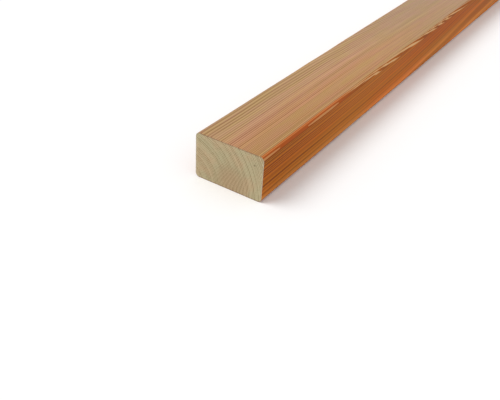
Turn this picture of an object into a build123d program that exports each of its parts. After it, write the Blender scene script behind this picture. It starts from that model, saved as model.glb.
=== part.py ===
import os

from build123d import *

# A planed length of timber with eased edges, lying on its wide face.
# X runs across the wide face, Y along the grain and Z up.
# The origin is on the underside, midway along and midway across.

# Section and length, in millimetres
width = 70
height = 45
length = 2400

# Round that eases each of the long edges
arris_radius = 4

os.makedirs("parts", exist_ok=True)

with BuildPart() as joist:
    # The section stands on Z = 0 and the stock runs both ways from the middle.
    with BuildSketch(Plane.XZ):
        Rectangle(width, height, align=(Align.CENTER, Align.MIN))
    extrude(amount=length / 2, both=True)

    # The planer eases the edges that run with the grain.
    # The crosscuts at the ends stay square and sharp.
    long_edges = joist.edges().filter_by(Axis.Y)
    fillet(long_edges, radius=arris_radius)

joist.part.label = "joist"
export_step(joist.part, "parts/joist.step")

section_area = joist.part.volume / length
print(f"joist {width} x {height} x {length} mm, section {section_area:.1f} mm2")
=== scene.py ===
import math

import bpy
from mathutils import Matrix, Vector


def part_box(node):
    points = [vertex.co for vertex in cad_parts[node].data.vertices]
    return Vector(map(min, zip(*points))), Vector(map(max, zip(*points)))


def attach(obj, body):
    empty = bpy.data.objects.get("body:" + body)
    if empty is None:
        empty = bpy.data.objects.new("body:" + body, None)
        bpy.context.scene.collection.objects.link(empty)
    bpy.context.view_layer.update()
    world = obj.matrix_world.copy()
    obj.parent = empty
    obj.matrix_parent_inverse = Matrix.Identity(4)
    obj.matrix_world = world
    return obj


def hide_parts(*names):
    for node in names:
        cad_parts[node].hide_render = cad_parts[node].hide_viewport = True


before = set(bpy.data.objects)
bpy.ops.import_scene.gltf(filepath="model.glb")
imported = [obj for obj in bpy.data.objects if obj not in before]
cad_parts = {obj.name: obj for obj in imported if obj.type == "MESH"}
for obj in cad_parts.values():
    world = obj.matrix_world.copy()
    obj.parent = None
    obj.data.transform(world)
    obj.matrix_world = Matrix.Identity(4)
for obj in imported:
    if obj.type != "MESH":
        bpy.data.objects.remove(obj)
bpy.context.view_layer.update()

stockLow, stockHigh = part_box("joist")
stockSize = stockHigh - stockLow
stockMiddle = (stockHigh + stockLow) / 2
mm = 0.001
half = stockSize / mm / 2        # half the width, length and height, in mm


# Small helpers for nodes

def tint(red, green, blue):
    # 0 to 255 as a screen shows it, made the linear colour that a node holds
    def straight(value):
        value /= 255
        return value / 12.92 if value <= 0.04045 else ((value + 0.055) / 1.055) ** 2.4
    return (straight(red), straight(green), straight(blue), 1)


def putIn(tree, socket, value):
    # a socket is linked, and a number, vector or colour is written
    if isinstance(value, bpy.types.NodeSocket):
        tree.links.new(value, socket)
    elif value is not None:
        socket.default_value = value


def calc(tree, operation, first, second=None, third=None, clamp=False):
    node = tree.nodes.new("ShaderNodeMath")
    node.operation = operation
    node.use_clamp = clamp
    for socket, value in zip(node.inputs, (first, second, third)):
        putIn(tree, socket, value)
    return node.outputs[0]


def times(tree, product, *factors):
    for factor in factors:
        product = calc(tree, "MULTIPLY", product, factor)
    return product


def rest(tree, share):
    # what is left of 1
    return calc(tree, "SUBTRACT", 1, share)


def apart(tree, value, middle):
    return calc(tree, "ABSOLUTE", calc(tree, "SUBTRACT", value, middle))


def beyond(tree, value, limit):
    # how far a value is past a limit, and 0 before it
    return calc(tree, "MAXIMUM", calc(tree, "SUBTRACT", value, limit), 0)


def wave(tree, value, length, operation="COSINE"):
    return calc(tree, operation, calc(tree, "MULTIPLY", value, 2 * math.pi / length))


def ramp(tree, value, fromLow, fromHigh, toLow=0.0, toHigh=1.0):
    node = tree.nodes.new("ShaderNodeMapRange")
    node.interpolation_type = "SMOOTHSTEP"
    for name, given in (("Value", value), ("From Min", fromLow), ("From Max", fromHigh),
                        ("To Min", toLow), ("To Max", toHigh)):
        putIn(tree, node.inputs[name], given)
    return node.outputs[0]


def fall(tree, value, fromLow, fromHigh, top=1.0):
    return ramp(tree, value, fromLow, fromHigh, top, 0.0)


def mixColour(tree, amount, first, second, way="MIX"):
    node = tree.nodes.new("ShaderNodeMix")
    node.data_type = "RGBA"
    node.blend_type = way
    colours = [socket for socket in node.inputs if socket.type == "RGBA"]
    putIn(tree, node.inputs["Factor"], amount)
    putIn(tree, colours[0], first)
    putIn(tree, colours[1], second)
    return [socket for socket in node.outputs if socket.type == "RGBA"][0]


def tinted(tree, colour, factor, amount=1):
    return mixColour(tree, amount, colour, factor, "MULTIPLY")


def twoTints(tree, amount, colour, first, second):
    # from one tint of a colour to another
    return mixColour(tree, amount, tinted(tree, colour, first), tinted(tree, colour, second))


def vectorCalc(tree, operation, *values):
    node = tree.nodes.new("ShaderNodeVectorMath")
    node.operation = operation
    for socket, value in zip(node.inputs, values):
        putIn(tree, socket, value)
    return node.outputs


def streaks(tree, place, across, along, detail, shift):
    # noise drawn out along the joist: its grain is so many mm across and so many along,
    # and a shift of its own keeps each pattern apart from the others
    stretched = vectorCalc(tree, "MULTIPLY_ADD", place, (1 / across, 1 / along, 1 / across),
                           (shift, shift * 0.7, shift * 1.3))
    node = tree.nodes.new("ShaderNodeTexNoise")
    node.inputs["Scale"].default_value = 1
    node.inputs["Detail"].default_value = detail
    putIn(tree, node.inputs["Vector"], stretched["Vector"])
    return node.outputs[0]


# Growth rings: a field in space, in mm, so that colour, bump and relief all follow the same grain.
# Of numbers in a row, the first two are where a change starts and where it is complete,
# and the next are what it changes from and to.

rings = {
    "pithX": -48.0,              # the tree's middle, from the middle of the section
    "pithZ": -5.6,               # and from the underside
    "width": 1.5,                # of a year, before good and poor ones
    "phase": 0.942,              # slides all the rings, 1 for a whole year
    "yearSeed": 11.0,            # picks which years are dark
    "slowFrom": 80.0,            # past this radius the years are narrower
    "slowing": 0.214,            # by so many more rings for each mm
    "swing": 0.35,               # and good and poor years bunch them
    "swingGrows": 8.0,           # over so many mm
    "swingSpan": 5.1,            # from one bunch to the next
    "swingPoor": 93.8,           # radius of one of them
    "straightRun": 120.0,        # from the near end, before the grain starts to climb
    "climbHeight": 34.0,
    "climbLength": 1500.0,       # one climb and fall
    "rippleHeight": 0.15,
    "rippleLength": 430.0,
    "flutterHeight": 0.12,
    "flutterLength": 103.0,
    "wanderDepth": 0.8,
    "wander": (45.0, 420.0, 1.0, 3.1),       # noise: mm across, mm along, detail, shift
    "lateGrows": (0.15, 0.85),   # late wood, as a share of the year
    "lateStops": (0.9, 1.0),
    "edgeRound": 4.0,            # the eased long edges
}


def timberPlace(tree, where):
    # metres in the part's frame, to mm with Y counted from the near end
    moved = (0, -stockLow.y / mm, -stockLow.z / mm)
    return vectorCalc(tree, "MULTIPLY_ADD", where, (1 / mm, 1 / mm, 1 / mm), moved)["Vector"]


def yearNoise(tree, age):
    # one number for each year
    node = tree.nodes.new("ShaderNodeTexWhiteNoise")
    node.noise_dimensions = "1D"
    putIn(tree, node.inputs["W"], calc(tree, "ADD", calc(tree, "FLOOR", age), rings["yearSeed"]))
    return node.outputs[0]


def ringField(tree, place):
    parts = tree.nodes.new("ShaderNodeSeparateXYZ")
    putIn(tree, parts.inputs[0], place)
    across, along, up = parts.outputs

    # the grain runs straight at first, then climbs and falls in long waves with a ripple
    climb = wave(tree, beyond(tree, along, rings["straightRun"]), rings["climbLength"])
    climb = calc(tree, "MULTIPLY_ADD", climb, -rings["climbHeight"] / 2, rings["climbHeight"] / 2)
    pithUp = calc(tree, "ADD", climb, rings["pithZ"])
    flutter = wave(tree, along, rings["flutterLength"])
    pithUp = calc(tree, "MULTIPLY_ADD", flutter, -rings["flutterHeight"], pithUp)
    ripple = wave(tree, along, rings["rippleLength"], "SINE")
    pithUp = calc(tree, "MULTIPLY_ADD", ripple, rings["rippleHeight"], pithUp)

    offX = calc(tree, "SUBTRACT", across, rings["pithX"])
    offZ = calc(tree, "SUBTRACT", up, pithUp)
    squares = calc(tree, "MULTIPLY_ADD", offX, offX, calc(tree, "MULTIPLY", offZ, offZ))
    wander = calc(tree, "SUBTRACT", streaks(tree, place, *rings["wander"]), 0.5)
    radius = calc(tree, "MULTIPLY_ADD", wander, rings["wanderDepth"], calc(tree, "SQRT", squares))

    # the age of the wood in years, and how far through its year it grew
    bunch = wave(tree, calc(tree, "SUBTRACT", radius, rings["swingPoor"]), rings["swingSpan"])
    swing = ramp(tree, radius, rings["slowFrom"], rings["slowFrom"] + rings["swingGrows"],
                 0, -rings["swing"])
    evenAge = calc(tree, "MULTIPLY_ADD", radius, 1 / rings["width"], rings["phase"])
    age = calc(tree, "MULTIPLY_ADD", beyond(tree, radius, rings["slowFrom"]), rings["slowing"],
               calc(tree, "MULTIPLY_ADD", bunch, swing, evenAge))
    season = calc(tree, "FRACT", age)

    # late wood darkens slowly through the season and stops short at the next spring
    late = times(tree, ramp(tree, season, *rings["lateGrows"]),
                 fall(tree, season, *rings["lateStops"]))

    # how far round the eased edge: 0 on the wide faces, 1 on the narrow ones
    overSide = beyond(tree, apart(tree, across, 0), half.x - rings["edgeRound"])
    overTop = beyond(tree, apart(tree, up, half.z), half.z - rings["edgeRound"])
    turn = times(tree, calc(tree, "ARCTAN2", overSide, overTop), 2 / math.pi)
    return {"radius": radius, "late": late, "age": age, "season": season, "turn": turn,
            "across": across, "along": along, "up": up, "overSide": overSide, "overTop": overTop}


ringMasks = {
    "nearEnd": (0, 190),         # mm from either end
    "endBand": (125, 185),
    "nearFoot": (3, 19),         # mm up
    "barkSide": (-12, 12),       # mm across, from the pith's side to the bark's
    # away from the ends, the years on the eased edge are drawn out toward the narrow face
    "lean": 5.0,
    "leanFrom": 0.6,
    "leanShift": 0.2,
    # lines that stay pale the whole way along, by radius, half width and strength
    "paleAbove": ((65.85, 0.5, 1.0),),
    "paleBeside": ((83.65, 0.75, 0.55), (83.35, 0.18, 1.0), (83.95, 0.18, 1.0)),
    "paleCore": 0.4,             # the share of a pale line that is at full strength
    # noise: mm across, mm along, detail, shift
    "Fibre": (0.5, 40.0, 3.0, 7.7),
    "Fine Line": (0.9, 700.0, 1.0, 4.4),
    "Broad Streak": (13.0, 420.0, 2.0, 1.9),
    "Mottle": (5.0, 45.0, 2.0, 6.3),
}


def paleLines(tree, radius, lines):
    strongest = 0
    for at, halfWidth, strength in lines:
        line = fall(tree, apart(tree, radius, at), halfWidth * ringMasks["paleCore"], halfWidth,
                    strength)
        strongest = calc(tree, "MAXIMUM", strongest, line)
    return strongest


def makeRingGroup():
    group = bpy.data.node_groups.new("growthRings", "ShaderNodeTree")
    group.interface.new_socket("Place", in_out="INPUT", socket_type="NodeSocketVector")
    entry = group.nodes.new("NodeGroupInput")
    place = timberPlace(group, entry.outputs["Place"])
    field = ringField(group, place)

    fromEnd = calc(group, "SUBTRACT", half.y, apart(group, field["along"], half.y))
    fromSide = calc(group, "SUBTRACT", half.x, apart(group, field["across"], 0))
    fromFace = calc(group, "SUBTRACT", half.z, apart(group, field["up"], half.z))
    endBand = fall(group, fromEnd, *ringMasks["endBand"])

    bent = beyond(group, field["turn"], ringMasks["leanFrom"])
    lean = calc(group, "MULTIPLY_ADD", times(group, bent, bent), ringMasks["lean"],
                -ringMasks["leanShift"])
    edgeAge = calc(group, "MULTIPLY_ADD", rest(group, endBand), lean, field["age"])

    results = {
        "Late Wood": field["late"],
        "Season": field["season"],
        "Year Tone": yearNoise(group, field["age"]),
        "Along": field["along"],
        "Up": field["up"],
        "Edge Turn": field["turn"],
        "Edge Season": calc(group, "FRACT", edgeAge),
        "Edge Year": yearNoise(group, edgeAge),
        "Near End": fall(group, fromEnd, *ringMasks["nearEnd"]),
        "End Band": endBand,
        "Near Foot": fall(group, field["up"], *ringMasks["nearFoot"]),
        "Bark Side": ramp(group, field["across"], *ringMasks["barkSide"]),
        "Rim": calc(group, "MINIMUM", fromSide, fromFace),       # mm in from the outline
        "Pale Above": paleLines(group, field["radius"], ringMasks["paleAbove"]),
        "Pale Beside": paleLines(group, field["radius"], ringMasks["paleBeside"]),
    }
    for name in ("Fibre", "Fine Line", "Broad Streak", "Mottle"):
        results[name] = streaks(group, place, *ringMasks[name])
    for name in results:
        group.interface.new_socket(name, in_out="OUTPUT", socket_type="NodeSocketFloat")
    leave = group.nodes.new("NodeGroupOutput")
    for name, value in results.items():
        putIn(group, leave.inputs[name], value)
    return group


def newMaterial(name):
    material = bpy.data.materials.new(name)
    material.use_nodes = True
    tree = material.node_tree
    shader = tree.nodes["Principled BSDF"]
    return material, tree, shader


def objectPlace(tree):
    return tree.nodes.new("ShaderNodeTexCoord").outputs["Object"]


def placeRings(tree, group, where):
    node = tree.nodes.new("ShaderNodeGroup")
    node.node_tree = group
    putIn(tree, node.inputs["Place"], where)
    return node.outputs


def addBump(tree, shader, height, finish):
    bump = tree.nodes.new("ShaderNodeBump")
    bump.inputs["Strength"].default_value = finish["bump"]
    bump.inputs["Distance"].default_value = finish["bumpHeight"]
    putIn(tree, bump.inputs["Height"], height)
    putIn(tree, shader.inputs["Normal"], bump.outputs[0])


# Wide faces: tan with many even fine lines, pinker and yellower in streaks and patches, and paler
# and greyer in stretches under a painted sheen

wideFace = {
    "light": tint(197, 154, 112),
    "dark": tint(149, 102, 66),
    "lines": (0.5, 0.9),                 # strength in the faintest and the strongest years
    "endLines": 0.3,                     # they stand out so much more by the ends
    "fineLines": 1.3,
    "fibre": 0.5,
    "streakGrows": (0.38, 0.66),
    "pink": (1.03, 0.93, 0.90, 1),       # tints, as multipliers
    "straw": (1.0, 1.02, 0.88, 1),
    "dull": (0.97, 1.06, 1.2, 1),        # toward the pith's side
    "sheenTint": tint(182, 153, 130),     # a painted sheen, paler and greyer, that comes and goes along, from none at the start
    "sheenShare": 0.45,
    "sheenStart": 100.0,
    "sheenLength": 1100.0,
    "patchGrows": (0.35, 0.65),
    "blush": (1.01, 0.97, 1.04, 1),
    "gold": (0.99, 1.01, 0.92, 1),
    "deep": (0.90, 0.95, 0.97, 1),       # in a darker stretch, which the narrow faces share
    "pale": (1.16, 1.20, 1.26, 1),
}


def paintWide(tree, ring, fibre, deep):
    lines = times(tree, ring["Late Wood"], ramp(tree, ring["Year Tone"], 0, 1, *wideFace["lines"]),
                  calc(tree, "MULTIPLY_ADD", ring["Near End"], wideFace["endLines"], 1))
    lines = calc(tree, "MULTIPLY_ADD", fibre, wideFace["fibre"], lines)
    tone = calc(tree, "MULTIPLY_ADD", calc(tree, "SUBTRACT", ring["Fine Line"], 0.5),
                wideFace["fineLines"], lines, clamp=True)
    colour = mixColour(tree, tone, wideFace["light"], wideFace["dark"])
    streak = ramp(tree, ring["Broad Streak"], *wideFace["streakGrows"])
    colour = twoTints(tree, streak, colour, wideFace["straw"], wideFace["pink"])
    colour = tinted(tree, colour, wideFace["dull"], rest(tree, ring["Bark Side"]))

    # a painted sheen that greys and pales the face, coming and going along the joist
    sheenShare = wave(tree, calc(tree, "SUBTRACT", ring["Along"], wideFace["sheenStart"]),
                  wideFace["sheenLength"])
    sheenShare = calc(tree, "MULTIPLY_ADD", sheenShare, -wideFace["sheenShare"] / 2, wideFace["sheenShare"] / 2)
    colour = mixColour(tree, sheenShare, colour, wideFace["sheenTint"])
    patch = ramp(tree, ring["Mottle"], *wideFace["patchGrows"])
    colour = twoTints(tree, patch, colour, wideFace["gold"], wideFace["blush"])
    colour = tinted(tree, colour, wideFace["deep"], deep)
    return tinted(tree, colour, wideFace["pale"], ring["Pale Above"])


# Narrow faces: orange brown, partly the wood's own colour and partly painted shade, darker by the
# ends in painted shade and lighter toward the foot

narrowFace = {
    "light": tint(214, 130, 46),
    "dark": tint(140, 71, 8),
    "calm": 0.6,                         # contrast of the rings, away from the ends
    "calmTone": 0.4,                     # the tone that it fades to
    "agedTone": 0.6,                     # old wood from the eased edge runs on into the face
    "agedEnds": (0.7, 1.0),
    "red": (1.10, 0.90, 0.86, 1),        # tints, as multipliers
    "redStreak": (0.38, 0.6, 0.0, 0.9),
    "redGrows": (170, 240),              # mm along, in a spell near the foot
    "redEnds": (320, 430),
    "redTop": (10, 30),                  # mm up
    "paler": 0.5,                        # how far the pith's side goes back to the wide faces
    # painted shade, darker by both ends
    "nearEnd": (0.80, 0.80, 0.66, 1),
    "foot": (1.27, 1.34, 1.78, 1),
    "deep": (0.84, 0.74, 0.62, 1),
    "deepUp": (8, 36),                   # mm up
    "pale": (1.20, 1.34, 2.0, 1),
}


def paintNarrow(tree, ring, tone, aged, wide, deep):
    calm = calc(tree, "MULTIPLY_ADD", ring["Near End"], 1 - narrowFace["calm"], narrowFace["calm"])
    tone = calc(tree, "MULTIPLY_ADD", calc(tree, "SUBTRACT", tone, narrowFace["calmTone"]), calm,
                narrowFace["calmTone"])
    runOn = fall(tree, ring["Edge Turn"], *narrowFace["agedEnds"], narrowFace["agedTone"])
    tone = calc(tree, "MAXIMUM", tone, times(tree, aged, runOn))
    # the orange brown is partly the wood's colour and partly painted shade
    colour = mixColour(tree, tone, narrowFace["light"], narrowFace["dark"])

    spell = times(tree, ramp(tree, ring["Along"], *narrowFace["redGrows"]),
                  fall(tree, ring["Along"], *narrowFace["redEnds"]),
                  fall(tree, ring["Up"], *narrowFace["redTop"]), ring["Bark Side"])
    red = calc(tree, "MAXIMUM", spell, ramp(tree, ring["Broad Streak"], *narrowFace["redStreak"]))
    colour = tinted(tree, colour, narrowFace["red"], red)
    paler = times(tree, rest(tree, ring["Bark Side"]), narrowFace["paler"])
    colour = mixColour(tree, paler, colour, wide)
    # painted shade, darker by both ends
    colour = tinted(tree, colour, narrowFace["nearEnd"], ring["Near End"])
    foot = times(tree, ring["Near Foot"], ring["Bark Side"])
    colour = tinted(tree, colour, narrowFace["foot"], foot)
    deepAbove = times(tree, deep, ring["Bark Side"], ramp(tree, ring["Up"], *narrowFace["deepUp"]))
    colour = tinted(tree, colour, narrowFace["deep"], deepAbove)
    return tinted(tree, colour, narrowFace["pale"], ring["Pale Beside"])


# Eased edges: each year starts pale well round the edge, and darkens until its end.
# Away from the ends only the pale tips stand out. The pale tips are partly early wood and partly
# a painted highlight, and the step from the wide face's colour to the narrow one's carries the
# narrow faces' painted shade round the edge.

easedEdge = {
    "light": tint(232, 184, 126),
    "middle": tint(206, 134, 76),
    "dark": tint(190, 92, 33),
    "dull": tint(168, 132, 98),          # on the pith's side
    "endAges": (0.2, 0.65),              # when in its year the wood darkens, by the ends
    "ages": (0.35, 0.75),                # and elsewhere
    "endPaleStops": (0.16, 0.46),        # when it stops being pale, likewise
    "paleStops": (0.3, 0.65),
    "paleYears": (0.1, 0.6, 0.25, 1.0),  # years differ in how pale they start
    "endTopDark": (0.35, 0.6),           # by the ends the upper part of the edge isn't pale
    # a year goes over from the wide face's colour to the narrow one's partway round
    "goesOver": (0.44, 0.56),
    "startsAt": (0.0, 0.08),
    "earlier": 0.18,
    "lag": 0.1,                          # later than that by so much, away from the ends
    "agedPull": 0.36,                    # old wood goes over sooner
    "palePush": 0.42,                    # and pale wood later
    "rises": (0.02, 0.14),               # where round the edge its own colours show
    "ends": (0.8, 1.0),
    "litRound": (0.1, 0.5, 0.3, 1.0),    # the painted highlight on the pale tips is brightest by the narrow face
    "cover": 0.9,
}


def endOrRest(tree, ring, byEnd, elsewhere):
    # one value by the ends of the joist and another along the rest
    part = times(tree, ring["End Band"], byEnd)
    return calc(tree, "MULTIPLY_ADD", rest(tree, ring["End Band"]), elsewhere, part)


def paintEdge(tree, ring, aged, wide, narrow):
    turn, season, endBand = ring["Edge Turn"], ring["Edge Season"], ring["End Band"]
    pale = endOrRest(tree, ring, fall(tree, season, *easedEdge["endPaleStops"]),
                     fall(tree, season, *easedEdge["paleStops"]))
    topDark = times(tree, endBand, fall(tree, turn, *easedEdge["endTopDark"]))
    pale = times(tree, pale, ramp(tree, ring["Edge Year"], *easedEdge["paleYears"]),
                 rest(tree, topDark))

    pull = calc(tree, "MULTIPLY_ADD", endBand, easedEdge["lag"],
                easedEdge["earlier"] - easedEdge["lag"])
    pull = calc(tree, "MULTIPLY_ADD", aged, easedEdge["agedPull"], pull)
    pull = calc(tree, "MULTIPLY_ADD", pale, -easedEdge["palePush"], pull)
    side = times(tree, ramp(tree, calc(tree, "ADD", turn, pull), *easedEdge["goesOver"]),
                 ramp(tree, turn, *easedEdge["startsAt"]))
    faces = mixColour(tree, side, wide, narrow)

    edge = mixColour(tree, aged, easedEdge["middle"], easedEdge["dark"])
    edge = mixColour(tree, pale, edge, easedEdge["light"])
    edge = mixColour(tree, ring["Bark Side"], easedEdge["dull"], edge)
    # a painted highlight on the pale tips, brightest toward the narrow face
    lit = times(tree, pale, rest(tree, side), ramp(tree, turn, *easedEdge["litRound"]))
    shows = times(tree, ramp(tree, turn, *easedEdge["rises"]), fall(tree, turn, *easedEdge["ends"]),
                  calc(tree, "MAXIMUM", endBand, lit), easedEdge["cover"])
    return mixColour(tree, shows, faces, edge)


planed = {
    "lines": (0.4, 1.1),                 # strength in the faintest and the strongest years
    "fibre": 0.6,
    "deepGrows": (230, 430),             # mm along, a stretch that is darker on all faces
    "deepEnds": (700, 1000),
    "roughness": 0.66,
    "lateSmooth": 0.12,                  # late wood is smoother by so much
    "gloss": 0.1,
    "bump": 0.2,
    "bumpHeight": 0.12 * mm,
}


def makePlaned(group):
    material, tree, shader = newMaterial("planedTimber")
    ring = placeRings(tree, group, objectPlace(tree))
    fibre = calc(tree, "SUBTRACT", ring["Fibre"], 0.5)
    lines = times(tree, ring["Late Wood"], ramp(tree, ring["Year Tone"], 0, 1, *planed["lines"]))
    tone = calc(tree, "MULTIPLY_ADD", fibre, planed["fibre"], lines, clamp=True)
    aged = endOrRest(tree, ring, ramp(tree, ring["Edge Season"], *easedEdge["endAges"]),
                     ramp(tree, ring["Edge Season"], *easedEdge["ages"]))
    deep = times(tree, ramp(tree, ring["Along"], *planed["deepGrows"]),
                 fall(tree, ring["Along"], *planed["deepEnds"]))
    wide = paintWide(tree, ring, fibre, deep)
    narrow = paintNarrow(tree, ring, tone, aged, wide, deep)
    putIn(tree, shader.inputs["Base Color"], paintEdge(tree, ring, aged, wide, narrow))
    roughness = calc(tree, "MULTIPLY_ADD", tone, -planed["lateSmooth"], planed["roughness"])
    putIn(tree, shader.inputs["Roughness"], roughness)
    shader.inputs["Specular IOR Level"].default_value = planed["gloss"]
    addBump(tree, shader, calc(tree, "ADD", ring["Late Wood"], ring["Fibre"]), planed)
    return material


# Sawn ends

sawn = {
    "light": tint(217, 200, 162),
    "dark": tint(146, 118, 82),
    "green": (0.96, 1.02, 0.99, 1),      # tints, as multipliers
    "pink": (1.05, 0.97, 0.94, 1),
    "lines": (0.45, 1.2),                # strength in the faintest and the strongest years
    "lineGrows": (0.4, 0.85),            # as shares of the year
    "lineStops": (0.92, 1.0),
    "specks": (0.7, 0.7, 3.0, 5.3),      # noise: mm across, mm along, detail, shift
    "speckMiddle": 0.42,
    "speckDepth": 0.9,
    "patch": (15.0, 400.0, 2.5, 2.4),
    "patchGrows": (0.3, 0.75),
    "pinkPlace": (3.0, 0.0, 9.0),        # low on the near end, where the lines are stronger
    "pinkEnds": (5.0, 22.0),
    "pinkLines": 0.9,
    "fleck": (26.2, 0.0, 34.3),          # one small dark fleck near the upper corner
    "fleckEnds": (0.3, 1.3, 0.7),        # mm from its middle, and its strength
    "fleckColour": tint(112, 92, 66),
    "rim": tint(150, 112, 88),           # where the saw broke out the last fibres: partly their darker, pinker colour and partly painted shadow under them
    "paleRim": tint(206, 190, 166),      # beside the narrow faces
    "rimNoise": (1.6, 400.0, 2.0, 8.8),
    "rimBreaks": 2.6,
    "rimEnds": (-1.6, 0.1),
    "roughness": 0.85,
    "gloss": 0.2,
    "bump": 0.5,
    "bumpHeight": 0.2 * mm,
}


def makeSawn(group):
    material, tree, shader = newMaterial("sawnEnd")
    where = objectPlace(tree)
    ring = placeRings(tree, group, where)
    place = timberPlace(tree, where)
    fromPink = vectorCalc(tree, "DISTANCE", place, sawn["pinkPlace"])["Value"]
    pinker = fall(tree, fromPink, *sawn["pinkEnds"])
    strength = calc(tree, "MULTIPLY_ADD", pinker, sawn["pinkLines"],
                    ramp(tree, ring["Year Tone"], 0, 1, *sawn["lines"]))
    lines = times(tree, ramp(tree, ring["Season"], *sawn["lineGrows"]),
                  fall(tree, ring["Season"], *sawn["lineStops"]), strength)
    specks = streaks(tree, place, *sawn["specks"])
    tone = calc(tree, "MULTIPLY_ADD", calc(tree, "SUBTRACT", specks, sawn["speckMiddle"]),
                sawn["speckDepth"], lines, clamp=True)
    colour = mixColour(tree, tone, sawn["light"], sawn["dark"])

    # dry and greenish in patches, pinker in others
    patch = ramp(tree, streaks(tree, place, *sawn["patch"]), *sawn["patchGrows"])
    patch = calc(tree, "MAXIMUM", patch, pinker)
    colour = twoTints(tree, patch, colour, sawn["green"], sawn["pink"])
    fromFleck = vectorCalc(tree, "DISTANCE", place, sawn["fleck"])["Value"]
    colour = mixColour(tree, fall(tree, fromFleck, *sawn["fleckEnds"]), colour, sawn["fleckColour"])
    # the rim where fibres broke out is partly their colour and partly painted shadow
    rim = calc(tree, "MULTIPLY_ADD", streaks(tree, place, *sawn["rimNoise"]), -sawn["rimBreaks"],
               ring["Rim"])
    rimColour = mixColour(tree, ring["Edge Turn"], sawn["rim"], sawn["paleRim"])
    colour = mixColour(tree, fall(tree, rim, *sawn["rimEnds"]), colour, rimColour)

    putIn(tree, shader.inputs["Base Color"], colour)
    shader.inputs["Roughness"].default_value = sawn["roughness"]
    shader.inputs["Specular IOR Level"].default_value = sawn["gloss"]
    addBump(tree, shader, calc(tree, "ADD", specks, ring["Late Wood"]), sawn)
    return material


# The length of timber itself

shape = {
    "roundSteps": 8,             # strips round each eased edge
    "strip": 0.55 * mm,          # width of a strip on the flats
    "stepAlong": 15 * mm,
    "grainDepth": 0.035,         # mm, how far early wood lies below late wood
    "edgeDepth": 0.3,            # mm, the same on the eased edges
    "endDepth": 0.25,            # mm, the same on the sawn ends
    "endSkin": 0.01,             # mm, what still counts as the end
    "facesAlong": 0.7,           # the ends' faces point along Y by at least so much
    "smoothBelow": 35,           # degrees
}


def selectEdges(piece, wanted):
    # picks edges by a test on their two places, with everything else let go
    bpy.ops.mesh.select_all(action="DESELECT")
    bpy.ops.object.mode_set(mode="OBJECT")
    mesh = piece.data
    for edge in mesh.edges:
        first, second = (mesh.vertices[i].co for i in edge.vertices)
        edge.select = wanted(first, second)
    bpy.ops.object.mode_set(mode="EDIT")


def runsAlong(first, second):
    return abs(first.y - second.y) > 0.9 * (first - second).length


def cutAcross(normal, low, high, step):
    # evenly spaced cuts between low and high, square to the normal
    count = round((high - low) / step)
    for number in range(count + 1):
        bpy.ops.mesh.select_all(action="SELECT")
        at = low + (high - low) * number / count
        bpy.ops.mesh.bisect(plane_co=Vector(normal) * at, plane_no=normal)


def makeJoist():
    bpy.ops.object.select_all(action="DESELECT")
    bpy.ops.mesh.primitive_cube_add(size=1, location=stockMiddle)
    piece = bpy.context.object
    piece.name = "planed_joist"
    piece.scale = stockSize
    bpy.ops.object.transform_apply(location=True, rotation=True, scale=True)

    edgeRound = rings["edgeRound"] * mm
    bpy.ops.object.mode_set(mode="EDIT")
    bpy.ops.mesh.select_mode(type="EDGE")
    selectEdges(piece, runsAlong)
    bpy.ops.mesh.bevel(offset=edgeRound, segments=shape["roundSteps"], profile=0.5, affect="EDGES")
    cutAcross((1, 0, 0), stockLow.x + edgeRound, stockHigh.x - edgeRound, shape["strip"])
    cutAcross((0, 0, 1), stockLow.z + edgeRound, stockHigh.z - edgeRound, shape["strip"])
    selectEdges(piece, runsAlong)
    bpy.ops.mesh.subdivide(number_cuts=round(stockSize.y / shape["stepAlong"]) - 1)
    bpy.ops.object.mode_set(mode="OBJECT")
    print("joist blocked out:", len(piece.data.polygons), "faces")
    return piece


def raiseGrain(piece):
    tree = bpy.data.node_groups.new("raisedGrain", "GeometryNodeTree")
    tree.interface.new_socket("Geometry", in_out="INPUT", socket_type="NodeSocketGeometry")
    tree.interface.new_socket("Geometry", in_out="OUTPUT", socket_type="NodeSocketGeometry")
    entry = tree.nodes.new("NodeGroupInput")
    leave = tree.nodes.new("NodeGroupOutput")
    where = tree.nodes.new("GeometryNodeInputPosition")
    field = ringField(tree, timberPlace(tree, where.outputs[0]))

    # early wood sinks, and sinks further on the eased edges
    sunk = rest(tree, field["late"])
    onEdge = times(tree, field["turn"], rest(tree, field["turn"]))      # 0.25 halfway round
    depth = ramp(tree, onEdge, 0, 0.25, shape["grainDepth"], shape["edgeDepth"])
    inward = times(tree, sunk, depth, -mm / rings["edgeRound"])
    moveX = times(tree, field["overSide"], inward, calc(tree, "SIGN", field["across"]))
    aboveMiddle = calc(tree, "SUBTRACT", field["up"], half.z)
    moveZ = times(tree, field["overTop"], inward, calc(tree, "SIGN", aboveMiddle))

    # both ends are rough from the saw
    pastMiddle = calc(tree, "SUBTRACT", field["along"], half.y)
    atEnd = calc(tree, "GREATER_THAN", apart(tree, pastMiddle, 0), half.y - shape["endSkin"])
    moveY = times(tree, sunk, -shape["endDepth"] * mm, atEnd, calc(tree, "SIGN", pastMiddle))

    move = tree.nodes.new("ShaderNodeCombineXYZ")
    for socket, value in zip(move.inputs, (moveX, moveY, moveZ)):
        putIn(tree, socket, value)
    setPlace = tree.nodes.new("GeometryNodeSetPosition")
    putIn(tree, setPlace.inputs["Geometry"], entry.outputs[0])
    putIn(tree, setPlace.inputs["Offset"], move.outputs[0])
    putIn(tree, leave.inputs[0], setPlace.outputs[0])

    modifier = piece.modifiers.new("raisedGrain", "NODES")
    modifier.node_group = tree
    bpy.ops.object.modifier_apply(modifier=modifier.name)
    print("grain raised")


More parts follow.
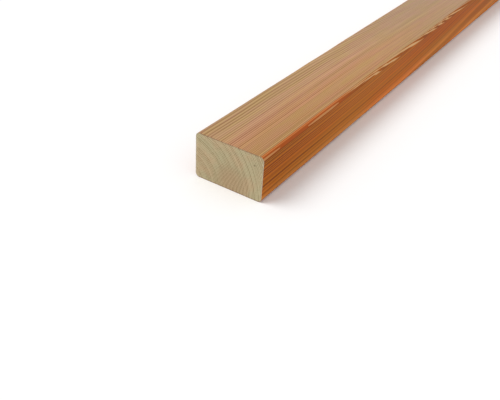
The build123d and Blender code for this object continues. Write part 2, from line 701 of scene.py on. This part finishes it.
joist = makeJoist()
raiseGrain(joist)
ringGroup = makeRingGroup()
joist.data.materials.append(makePlaned(ringGroup))
joist.data.materials.append(makeSawn(ringGroup))
for face in joist.data.polygons:
    sawnAcross = abs(face.normal.y) > shape["facesAlong"]
    face.material_index = 1 if sawnAcross else 0
bpy.ops.object.shade_smooth_by_angle(angle=math.radians(shape["smoothBelow"]))
print("timber finished")
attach(joist, "root")
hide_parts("joist")


# Floor, light and camera

studio = {
    "floorSize": 80.0,
    "floorSeen": 1.04,           # white in full light, so that only the shadow shows
    "floorGives": 0.72,          # what it throws back at the timber
    "ambient": 0.62,
    "sun": 1.45,
    "sunSoftness": 35.0,
    "sunFrom": (-0.55, -0.35, 1.0),
}

view = {
    "place": (0.26458, -1.59364, 0.32347),
    "aim": (0.0582, -1.2562, 0.045),
    "roll": 3.74,
    "lens": 47.2,
    "sensor": 36,
    "clipStart": 0.01,
}


def seenDirectly(tree):
    # 1 for what the camera sees, also by way of gloss or glass, and 0 for light that bounces
    ray = tree.nodes.new("ShaderNodeLightPath").outputs
    mirrored = calc(tree, "MAXIMUM", ray["Is Glossy Ray"], ray["Is Transmission Ray"])
    return calc(tree, "MAXIMUM", ray["Is Camera Ray"], mirrored)


def makeFloor():
    bpy.ops.mesh.primitive_plane_add(size=studio["floorSize"], location=(0, 0, stockLow.z))
    floor = bpy.context.object
    floor.name = "studio_floor"
    material, tree, shader = newMaterial("paleFloor")
    tree.nodes.remove(shader)
    seen = calc(tree, "MULTIPLY_ADD", seenDirectly(tree),
                studio["floorSeen"] - studio["floorGives"], studio["floorGives"])
    paint = tree.nodes.new("ShaderNodeBsdfDiffuse")
    putIn(tree, paint.inputs["Color"], seen)
    putIn(tree, tree.nodes["Material Output"].inputs["Surface"], paint.outputs[0])
    floor.data.materials.append(material)


def makeLight():
    world = bpy.data.worlds.new("studioSky")
    bpy.context.scene.world = world
    world.use_nodes = True
    tree = world.node_tree
    strength = calc(tree, "MULTIPLY_ADD", seenDirectly(tree), 1 - studio["ambient"],
                    studio["ambient"])
    background = tree.nodes["Background"]
    background.inputs["Color"].default_value = (1, 1, 1, 1)
    putIn(tree, background.inputs["Strength"], strength)

    bpy.ops.object.light_add(type="SUN", location=(0, 0, 2))
    sun = bpy.context.object
    sun.name = "soft_sun"
    sun.data.energy = studio["sun"]
    sun.data.angle = math.radians(studio["sunSoftness"])
    sun.rotation_euler = Vector(studio["sunFrom"]).to_track_quat("Z", "Y").to_euler()


def makeCamera():
    place, aim = Vector(view["place"]), Vector(view["aim"])
    camera = bpy.data.cameras.new("photoView")
    camera.lens = view["lens"]
    camera.sensor_width = view["sensor"]
    camera.clip_start = view["clipStart"]
    holder = bpy.data.objects.new("photoView", camera)
    bpy.context.collection.objects.link(holder)
    turned = (aim - place).to_track_quat("-Z", "Y").to_matrix().to_4x4()
    rolled = Matrix.Rotation(math.radians(view["roll"]), 4, "Z")
    holder.matrix_world = Matrix.Translation(place) @ turned @ rolled
    bpy.context.scene.camera = holder


makeFloor()
makeLight()
makeCamera()
bpy.context.scene.view_settings.view_transform = "Standard"
print("studio set")
